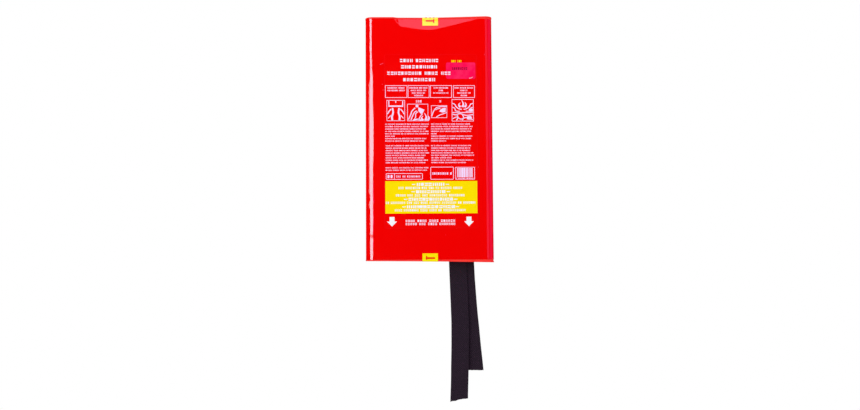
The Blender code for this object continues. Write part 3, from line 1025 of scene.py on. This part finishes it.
def build_film(material, edge):
    """The film, and its real cut edge as a fine line whose paler red is a painted highlight."""
    edges = box_edges("instruction_label")
    bm = bmesh.new()
    add_outline(bm, rounded_box(*edges, 2.0))
    node = ["instruction_label"]
    printed("instruction_film", bm, material, FILM_LIFT, 3.5 * MM, FILM_THICKNESS, node)
    # The frame is the film's real cut edge; its paler ink is a painted highlight.
    bm = bmesh.new()
    add_rounded_frame(bm, *edges, 0.4, 2.0)
    printed("film_edge_highlight", bm, edge, cell=5 * MM)


SCUFFS = [
    ([(-57.4, 86.4), (-55.6, 87.4), (-53.2, 88.3)], 0.9, 0.5),
    ([(-55.0, 63.0), (-54.4, 63.9)], 0.9, 0.5),
    ([(-54.1, 56.1), (-53.5, 57.0)], 0.9, 0.5),
    ([(64.8, 98.0), (65.6, 99.1)], 0.8, 0.5),
    ([(17.6, -112.8), (18.6, -113.4)], 0.5, 0.5),
    ([(56.6, -34.6), (57.4, -33.7)], 0.5, 0.5),
]
# Points of a pale pink stroke at the lot sticker's lifted corner: a painted highlight.
STICKER_CURL_HIGHLIGHT = [(47.0, 70.4), (49.4, 70.8), (51.4, 72.0)]


def build_scuffs(material, curl_highlight_ink):
    """Small scuffs in the gloss of the case and film, and a painted highlight on the lot sticker's lifted
    corner.
    """
    bm = bmesh.new()
    add_strokes(bm, SCUFFS)
    printed("scuffs", bm, material, cell=5 * MM)
    bm = bmesh.new()
    add_stroke(bm, STICKER_CURL_HIGHLIGHT, 1.1, 0.4)
    printed("sticker_curl_highlight", bm, curl_highlight_ink, OVERPRINT_LIFT)


def build_lot_sticker(material, dark):
    left, right, low, high = box_edges("lot_label")
    bm = bmesh.new()
    add_outline(bm, rounded_box(left + 0.2, right - 0.5, low, high - 0.4, 1.8))
    printed("lot_sticker", bm, material, cell=4 * MM, replaced=["lot_label"])
    bm = bmesh.new()
    add_line(bm, random.Random(SEED), *LOT_MARK)
    printed("lot_mark", bm, dark, OVERPRINT_LIFT)


def build_title(white, yellow):
    rng = random.Random(SEED + 1)
    bm = bmesh.new()
    for line in TITLE_LINES:
        add_line(bm, rng, *line)
    printed("title_lines", bm, white, OVERPRINT_LIFT)
    bm = bmesh.new()
    add_line(bm, rng, *LOT_HEADING)
    printed("lot_heading", bm, yellow)


def build_captions(white):
    rng = random.Random(SEED + 2)
    bm = bmesh.new()
    for (left, right), shares in zip(CAPTION_BOXES, CAPTION_LINES):
        add_frame(bm, left, right, CAPTION_LOW, CAPTION_HIGH, 0.55)
        middle = (left + right) / 2
        for line, share in enumerate(shares):
            half = share * (right - left) / 2
            low = CAPTION_HIGH - 3.8 - 3.0 * line
            words = words_for(2 * half, 1.25, rng)
            add_line(bm, rng, middle - half, middle + half, low, 1.6, words)
    printed("caption_boxes", bm, white, cell=5 * MM)


def build_paragraphs(white):
    rng = random.Random(SEED + 3)
    bm = bmesh.new()
    for paragraph in PARAGRAPHS:
        add_text(bm, rng, *paragraph)
    printed("paragraphs", bm, white)


def build_bottom_boxes(white):
    """Under the paragraphs: an approval box, a size box and a striped code."""
    rng = random.Random(SEED + 4)
    bm = bmesh.new()
    add_rounded_frame(bm, -50.7, -8.1, -48.5, -41.2, 0.55, 1.0)
    add_box(bm, -41.1, -40.6, -47.9, -41.8)
    for left in (-49.0, -45.4):
        add_outline(bm, rounded_box(left, left + 2.4, -46.8, -43.1, 1.1))
    add_line(bm, rng, -38.8, -10.4, -46.0, 2.1, (3, 2, 8))
    add_rounded_frame(bm, 1.0, 28.0, -48.6, -33.8, 0.6, 1.0)
    add_line(bm, rng, 3.1, 26.1, -42.9, 2.7, (9, 1))
    add_frame(bm, 29.9, 52.6, -48.6, -34.1, 0.5)
    stripe = 32.0
    while stripe < 50.4:
        width = rng.choice((0.6, 1.2, 2.2))
        add_box(bm, stripe, min(stripe + width, 50.6), -46.0, -35.0)
        stripe += width + rng.choice((0.25, 0.45))
    add_line(bm, rng, 30.8, 51.6, -47.9, 1.2, (1, 6, 6))
    printed("bottom_boxes", bm, white, cell=5 * MM)


def build_panel(white, yellow):
    bm = bmesh.new()
    add_box(bm, *PANEL)
    printed("notice_panel", bm, yellow, cell=4 * MM)
    rng = random.Random(SEED + 5)
    bm = bmesh.new()
    for line in PANEL_LINES:
        add_line(bm, rng, *line)
    for z, left, right in DASHES:
        add_box(bm, left, left + DASH_LENGTH, z - 0.5, z + 0.5)
        add_box(bm, right - DASH_LENGTH, right, z - 0.5, z + 0.5)
    printed("panel_lines", bm, white, OVERPRINT_LIFT)


def build_arrows(white, bold_white):
    bm = bmesh.new()
    for left, right in ARROWS:
        middle = (left + right) / 2
        shaft = (middle - ARROW_SHAFT / 2, middle + ARROW_SHAFT / 2)
        head = [(left, ARROW_MIDDLE), (middle, ARROW_TIP), (right, ARROW_MIDDLE)]
        start = [(shaft[0], ARROW_TOP), (shaft[0], ARROW_MIDDLE)]
        add_outline(bm, [*start, *head, (shaft[1], ARROW_MIDDLE), (shaft[1], ARROW_TOP)])
    printed("pull_arrows", bm, white, cell=5 * MM)
    rng = random.Random(SEED + 6)
    bm = bmesh.new()
    for line in PULL_LINES:
        add_line(bm, rng, *line)
    printed("pull_lines", bm, bold_white)


# Pictograms of the builder's own: pulling the tapes, holding, covering and wrapping

PICTOGRAM_LINE = 0.52


def add_stroke(bm, points, width, taper=1.0):
    """A line of the given width through points in millimetres. taper is its end width's share."""
    route = smooth_route([(x, 0, z) for x, z in points], 0.9)
    pairs = []
    last = len(route) - 1
    for i, point in enumerate(route):
        ahead = (route[min(i + 1, last)] - route[max(i - 1, 0)]).normalized()
        aside = Vector((-ahead.z, 0, ahead.x)) * width / 2 * (1 + (taper - 1) * i / last)
        pairs.append([bm.verts.new(MM * (point + aside)), bm.verts.new(MM * (point - aside))])
    for (a, b), (c, d) in zip(pairs, pairs[1:]):
        bm.faces.new((a, b, d, c))


def add_strokes(bm, strokes, mirror=None):
    """Strokes as (points, width, end width's share), and their mirror images about x = mirror if given."""
    for points, width, taper in strokes:
        add_stroke(bm, points, width, taper)
        if mirror is not None:
            add_stroke(bm, [(2 * mirror - x, z) for x, z in points], width, taper)


def add_flame(bm, x, low, size):
    """A flame with three tongues, as strokes that narrow upwards."""
    for shift, height, lean in ((-0.42, 0.62, -0.10), (0.0, 1.0, 0.12), (0.42, 0.70, 0.10)):
        shares = ((0.7 * shift, 0), (shift + lean, 0.45 * height), (shift - lean, height))
        add_stroke(bm, [(x + right * size, low + up * size) for right, up in shares], 0.32 * size, 0.12)


def draw_pulling(bm):
    """Two arms reach up to the case's tapes."""
    left, right, low, high = -49.7, -28.4, 20.1, 44.6
    middle = (left + right) / 2
    add_frame(bm, left, right, low, high, PICTOGRAM_LINE)
    add_box(bm, left + 2.0, left + 3.1, 38.3, high - 0.9)
    add_box(bm, right - 3.1, right - 2.0, 38.3, high - 0.9)
    add_box(bm, left + 2.0, right - 2.0, 36.7, 38.3)
    add_box(bm, middle - 0.5, middle + 0.5, 41.4, 43.8)
    add_strokes(bm, (
        ([(-43.2, low + 0.9), (-43.5, 25.2), (-42.2, 30.0), (-42.9, 35.4)], 2.3, 0.75),
        ([(-48.7, 28.2), (-46.8, 31.5), (-44.4, 34.2)], 1.1, 1.2),
        ([(-48.0, 23.2), (-45.9, 25.4), (-44.8, 26.6)], 0.9, 1.0),
    ), middle)


def draw_holding(bm):
    """A figure holds the blanket up in front of a fire."""
    add_frame(bm, -25.7, -1.3, 20.0, 40.1, PICTOGRAM_LINE)
    add_outline(bm, rounded_box(-16.0, -12.6, 36.0, 39.2, 1.5))
    add_outline(bm, [(-12.8, 36.2), (-5.6, 33.2), (-7.4, 29.6), (-9.6, 28.2), (-12.6, 31.8)])
    add_strokes(bm, (
        ([(-24.6, 21.4), (-21.8, 27.0), (-20.2, 31.6), (-16.4, 35.4)], 1.2, 1),
        ([(-21.5, 20.9), (-19.4, 26.0), (-17.0, 30.5), (-14.4, 31.8)], 1.1, 1),
        ([(-18.2, 21.0), (-16.0, 24.6), (-15.8, 28.6), (-13.0, 31.0)], 0.9, 1),
        ([(-7.8, 28.6), (-10.4, 25.4), (-12.6, 21.2)], 1.0, 1),
        ([(-19.0, 20.9), (-14.0, 22.0), (-9.0, 20.9)], 1.4, 1),
    ))
    add_flame(bm, -4.6, 20.8, 8.6)


def draw_covering(bm):
    """The blanket is laid over a pan."""
    add_frame(bm, 2.2, 20.8, 23.6, 38.3, PICTOGRAM_LINE)
    add_outline(bm, [(11.8, 31.0), (13.0, 33.4), (16.2, 35.2), (19.4, 35.6), (19.0, 30.6), (15.8, 29.9)])
    add_strokes(bm, (
        ([(2.9, 25.4), (4.8, 31.0), (8.2, 35.4), (13.2, 36.8), (20.2, 37.0)], 1.0, 1),
        ([(8.0, 24.4), (12.2, 27.0), (16.4, 28.4), (20.1, 29.8)], 0.9, 1),
        ([(7.4, 33.0), (10.0, 34.4), (13.0, 34.9)], 0.9, 1),
    ))


def draw_wrapping(bm):
    """A person on fire is covered, above; and wrapped on the ground, below."""
    left, right = 26.35, 51.9
    add_frame(bm, left, right, 19.6, 45.6, PICTOGRAM_LINE)
    add_box(bm, left + 0.8, right - 0.8, 29.5, 30.3)
    add_flame(bm, 38.9, 36.4, 8.4)
    add_strokes(bm, (
        ([(27.1, 40.6), (29.9, 39.6), (31.4, 36.8), (34.6, 34.4), (38.0, 33.6)], 1.1, 1),
        ([(27.1, 36.2), (29.6, 35.0), (31.2, 31.8), (35.6, 31.4)], 0.95, 1),
    ), 39.1)
    add_outline(bm, rounded_box(46.4, 51.0, 30.8, 34.6, 1.0))
    add_strokes(bm, (
        ([(27.2, 28.0), (31.0, 27.2), (36.0, 28.6), (43.0, 26.6), (51.0, 27.4)], 1.05, 1),
        ([(27.4, 22.6), (32.0, 24.6), (37.0, 22.2), (43.5, 24.0), (50.9, 21.4)], 1.0, 1),
        ([(31.8, 20.6), (33.4, 24.2), (32.2, 27.6)], 1.1, 1),
        ([(38.6, 20.6), (40.0, 24.2), (38.8, 27.4)], 1.1, 1),
    ))
    add_outline(bm, rounded_box(43.8, 49.6, 21.6, 25.6, 1.6))


def build_pictograms(white):
    rng = random.Random(SEED + 7)
    bm = bmesh.new()
    for draw in (draw_pulling, draw_holding, draw_covering, draw_wrapping):
        draw(bm)
    add_word(bm, rng, -15.4, 41.7, 2.8, 3, 2.4)
    add_word(bm, rng, 12.2, 41.7, 2.8, 1, 2.2)
    printed("pictograms", bm, white, cell=5 * MM)


# Seals over the joints between the tube and its caps

SEAL_LIFT = 0.15 * MM
TOP_SEAL_WIDTH = 18.4 * MM
BOTTOM_SEAL_WIDTH = 17.9 * MM
TOP_SEAL_MIDDLE = 1.7 * MM
BOTTOM_SEAL_MIDDLE = 0.1 * MM
TOP_SEAL_ON_TUBE = 8.3 * MM  # from the tube's end
BOTTOM_SEAL_ON_TUBE = 7.2 * MM
SEAL_ON_CAP = 9.5 * MM
SEAL_COLUMNS = 12


def seal_on_tube(x, side, reach, lift):
    """The part of a seal that lies on the tube, from its free end, reach from the joint, to the joint."""
    points = []
    for step in range(13):
        z = TUBE_END - reach * (1 - step / 12)
        rise = CAP_LIP * smoothstep(TUBE_END - 3 * MM, TUBE_END, z)
        points.append(Vector((x, front_y(x, side * z) - lift - rise, side * z)))
    return points


def seal_on_cap(x, cap, lift):
    """The part from the tube's end, over the flange's edge and on over the cap's outer face."""
    side = cap[0]
    front = FRONT - CAP_LIP
    places = [(front, 0.01 * MM, 0, 0)]
    places += [(front, out, 1, 0) for out in (0.1 * MM, 0.5 * MM, CAP_THICKNESS - CAP_ROUND)]
    for step in range(1, 5):
        angle = pi / 2 * step / 4
        y = front + CAP_ROUND * (1 - cos(angle))
        places.append((y, CAP_THICKNESS - CAP_ROUND * (1 - sin(angle)), 1, angle))
    for step in range(1, 6):
        y = front + CAP_ROUND + (SEAL_ON_CAP - CAP_ROUND) * step / 5
        places.append((y, CAP_THICKNESS + 0.06 * MM, 1, pi / 2))
    points = []
    for y, out, lifted, angle in places:
        away = Vector((0, -cos(angle), side * sin(angle)))
        points.append(cap_point(*cap, x, y, out, lifted) + away * lift)
    return points


def build_seal(name, node, middle, width, path, material, body):
    """A strip of sticker. path(x, lift) gives the points of one of its columns."""
    bm = bmesh.new()
    layers = {}
    for face, lift in ((1, SEAL_LIFT), (-1, SEAL_LIFT + SEAL_THICKNESS)):
        shares = [column / SEAL_COLUMNS - 0.5 for column in range(SEAL_COLUMNS + 1)]
        layers[face] = [ring_of(bm, path(middle + share * width, lift)) for share in shares]
    close_layers(bm, layers)
    new_piece(name, bm, material, body, [node], 50)


def add_seal_mark(bm, head, tail, middle, low, high):
    """A generic mark, a level bar with a cross piece from low to high at its head, in millimetres."""
    lean = 0.5 if tail > head else -0.5
    add_box(bm, min(head + lean, tail), max(head + lean, tail), middle - 0.95, middle + 0.95)
    add_outline(bm, rounded_box(head - 0.75, head + 0.75, low, high, 0.4, 3))


def build_seals(yellow, red):
    def top(x, lift):
        return seal_on_tube(x, 1, TOP_SEAL_ON_TUBE, lift) + seal_on_cap(x, TOP_CAP, lift)

    def bottom_upper(x, lift):
        return seal_on_tube(x, -1, BOTTOM_SEAL_ON_TUBE, lift)

    def bottom_lower(x, lift):
        return seal_on_cap(x, BOTTOM_CAP, lift)

    bottom = (BOTTOM_SEAL_MIDDLE, BOTTOM_SEAL_WIDTH)
    build_seal("top_seal_strip", "top_seal", TOP_SEAL_MIDDLE, TOP_SEAL_WIDTH, top, yellow, "case")
    build_seal("bottom_seal_on_tube", "bottom_seal_upper", *bottom, bottom_upper, yellow, "case")
    build_seal("bottom_seal_on_cap", "bottom_seal_lower", *bottom, bottom_lower, yellow, "bottom_cap")
    mark_lift = SEAL_LIFT + SEAL_THICKNESS + CAP_LIP + 0.01 * MM
    bm = bmesh.new()
    add_seal_mark(bm, 5.9, -3.5, 139.2, 136.5, 141.4)
    printed("top_seal_mark", bm, red, mark_lift)
    bm = bmesh.new()
    for x in (-3.1, 1.7, 6.1):
        add_outline(bm, rounded_box(x - 0.8, x + 0.8, 142.5, 143.6, 0.3, 3))
    printed("top_seal_dots", bm, red, mark_lift)
    bm = bmesh.new()
    add_seal_mark(bm, -4.2, 5.6, -139.7, -141.5, -137.3)
    printed("bottom_seal_mark", bm, red, mark_lift)


# Light

def area_light(name, target, azimuth, elevation, distance, size, radiance, color, rays):
    """A soft box that lights only diffuse or only glossy rays."""
    data = bpy.data.lights.new(name, "AREA")
    data.shape = "RECTANGLE"
    data.size, data.size_y = size
    data.energy = radiance * pi * size[0] * size[1]
    data.color = color
    light = bpy.data.objects.new(name, data)
    bpy.context.collection.objects.link(light)
    towards = direction(azimuth, elevation)
    light.location = Vector(target) + towards * distance
    light.rotation_euler = towards.to_track_quat("Z", "Y").to_euler()
    light.visible_camera = False
    light.visible_diffuse = rays == "diffuse"
    light.visible_glossy = rays == "glossy"


def make_lights():
    front = (0, FRONT, 0)
    top = (0, FRONT, 0.135)
    left_corner = (-HALF_WIDTH + FRONT_CORNER, FRONT, 0)
    right_corner = (HALF_WIDTH - FRONT_CORNER, FRONT, 0)
    white = (1, 1, 1)
    cool = (0.83, 0.86, 1)
    for light in (
        ("key", front, 38, 34, 1.5, (1.1, 1.1), 2.7, white, "diffuse"),
        ("right_fill", front, -75, 10, 1.6, (1.2, 1.2), 1.3, white, "diffuse"),
        ("back_fill", front, 150, 25, 2.0, (1.5, 1.5), 1.1, white, "diffuse"),
        ("ceiling", front, 0, 90, 2.5, (3.0, 3.0), 0.4, white, "diffuse"),
        ("left_box_low", left_corner, 28.5, 5.6, 5.0, (3.56, 1.38), 16.2, cool, "glossy"),
        ("left_box_high", left_corner, 35, 16.3, 5.0, (2.4, 0.50), 16.2, cool, "glossy"),
        ("left_wing", left_corner, 57, 7.6, 5.0, (1.9, 0.75), 8, (0.95, 0.95, 1), "glossy"),
        ("right_box", right_corner, -29, 6, 1.6, (0.85, 1.2), 0.9, (0.5, 0.35, 1), "glossy"),
        ("right_side", right_corner, -80, 6, 1.6, (1.6, 1.2), 0.9, (0.3, 0.1, 0.8), "glossy"),
        ("overhead", top, 0, 41, 1.5, (1.5, 0.5), 2.2, (1, 0.66, 1), "glossy"),
        ("left_edge_glow", front, 7.4, 1.8, 5.2, (0.27, 0.5), 2.2, (0.8, 0.2, 1), "glossy"),
        ("top", front, 0, 84, 1.4, (1.4, 0.9), 1.2, white, "glossy"),
    ):
        area_light(*light)


def make_world():
    """Dim all round for soft light, dark where surfaces reflect it, and white behind the object."""
    world = bpy.data.worlds.new("studio")
    world.use_nodes = True
    bpy.context.scene.world = world
    nodes, links = world.node_tree.nodes, world.node_tree.links
    nodes.clear()
    path = nodes.new("ShaderNodeLightPath")
    seen = None
    for strength, rays in ((0.70, None), (0.01, "Is Glossy Ray"), (1.0, "Is Camera Ray")):
        background = nodes.new("ShaderNodeBackground")
        background.inputs["Color"].default_value = (1, 1, 1, 1)
        background.inputs["Strength"].default_value = strength
        latest = background.outputs[0]
        if rays:
            mix = nodes.new("ShaderNodeMixShader")
            for socket, source in enumerate((path.outputs[rays], seen, latest)):
                links.new(source, mix.inputs[socket])
            latest = mix.outputs[0]
        seen = latest
    output = nodes.new("ShaderNodeOutputWorld")
    links.new(seen, output.inputs["Surface"])


FLOOR_HEIGHT = -1.25
FLOOR_RADIUS = 5.0


def make_floor():
    bm = bmesh.new()
    bmesh.ops.create_circle(bm, cap_ends=True, radius=FLOOR_RADIUS, segments=128)
    bmesh.ops.translate(bm, verts=bm.verts, vec=(0, 0, FLOOR_HEIGHT))
    floor = mesh_object("floor", bm)
    floor.data.materials.append(paper_floor())


def main():
    bpy.context.scene.view_settings.view_transform = "Standard"
    make_camera()
    tape = webbing()
    build_tape("front_tape", "pull_tape_front", FRONT_TAPE, front_cut, tape)
    build_tape("rear_tape", "pull_tape_rear", REAR_TAPE, rear_cut, tape)
    build_blanket(glass_cloth())
    sewing = thread()
    build_tape_sewing("front_sewing", "tape_stitch_front", 32.9 * MM, TAPE_ON_FRONT, -1, sewing)
    build_tape_sewing("rear_sewing", "tape_stitch_rear", 41.5 * MM, TAPE_ON_BACK, 1, sewing)
    build_hem(sewing)
    build_case(case_plastic())
    red_cap = cap_plastic()
    build_cap("top_cap_fine", "top_cap", TOP_CAP, red_cap, "case")
    cut(build_cap("bottom_cap_fine", "bottom_cap", BOTTOM_CAP, red_cap, "bottom_cap"), slot_cutter())
    white = ink("white_ink", (0.93, 0.915, 0.965))
    bold_white = ink("bold_white_ink", (0.93, 0.80, 0.98))
    thin_white = ink("thin_white_ink", (0.93, 0.70, 0.99))
    yellow = ink("yellow_ink", (0.985, 0.745, 0.0))
    dark = ink("dark_ink", (0.30, 0.003, 0.035))
    # The film edge ink's paler red is a painted highlight along the film's cut edge.
    build_film(clear_film(), ink("film_edge_highlight", (0.92, 0.006, 0.013)))
    # The curl ink's pale pink is a painted highlight on the sticker's lifted corner.
    build_scuffs(ink("scuff", (0.96, 0.07, 0.13)), ink("curl_highlight", (0.97, 0.42, 0.62)))
    build_lot_sticker(sticker_vinyl("pink_paper", (0.98, 0.016, 0.115), (0.955, 0.003, 0.085)), dark)
    build_title(bold_white, yellow)
    build_captions(thin_white)
    build_pictograms(thin_white)
    build_paragraphs(thin_white)
    build_bottom_boxes(thin_white)
    build_panel(white, yellow)
    build_arrows(white, bold_white)
    seal_red = ink("seal_red_ink", (0.93, 0.02, 0.004))
    build_seals(sticker_vinyl("seal_vinyl", (0.985, 0.80, 0.001), (0.97, 0.775, 0.0), 1.62), seal_red)
    make_floor()
    make_lights()
    make_world()


main()
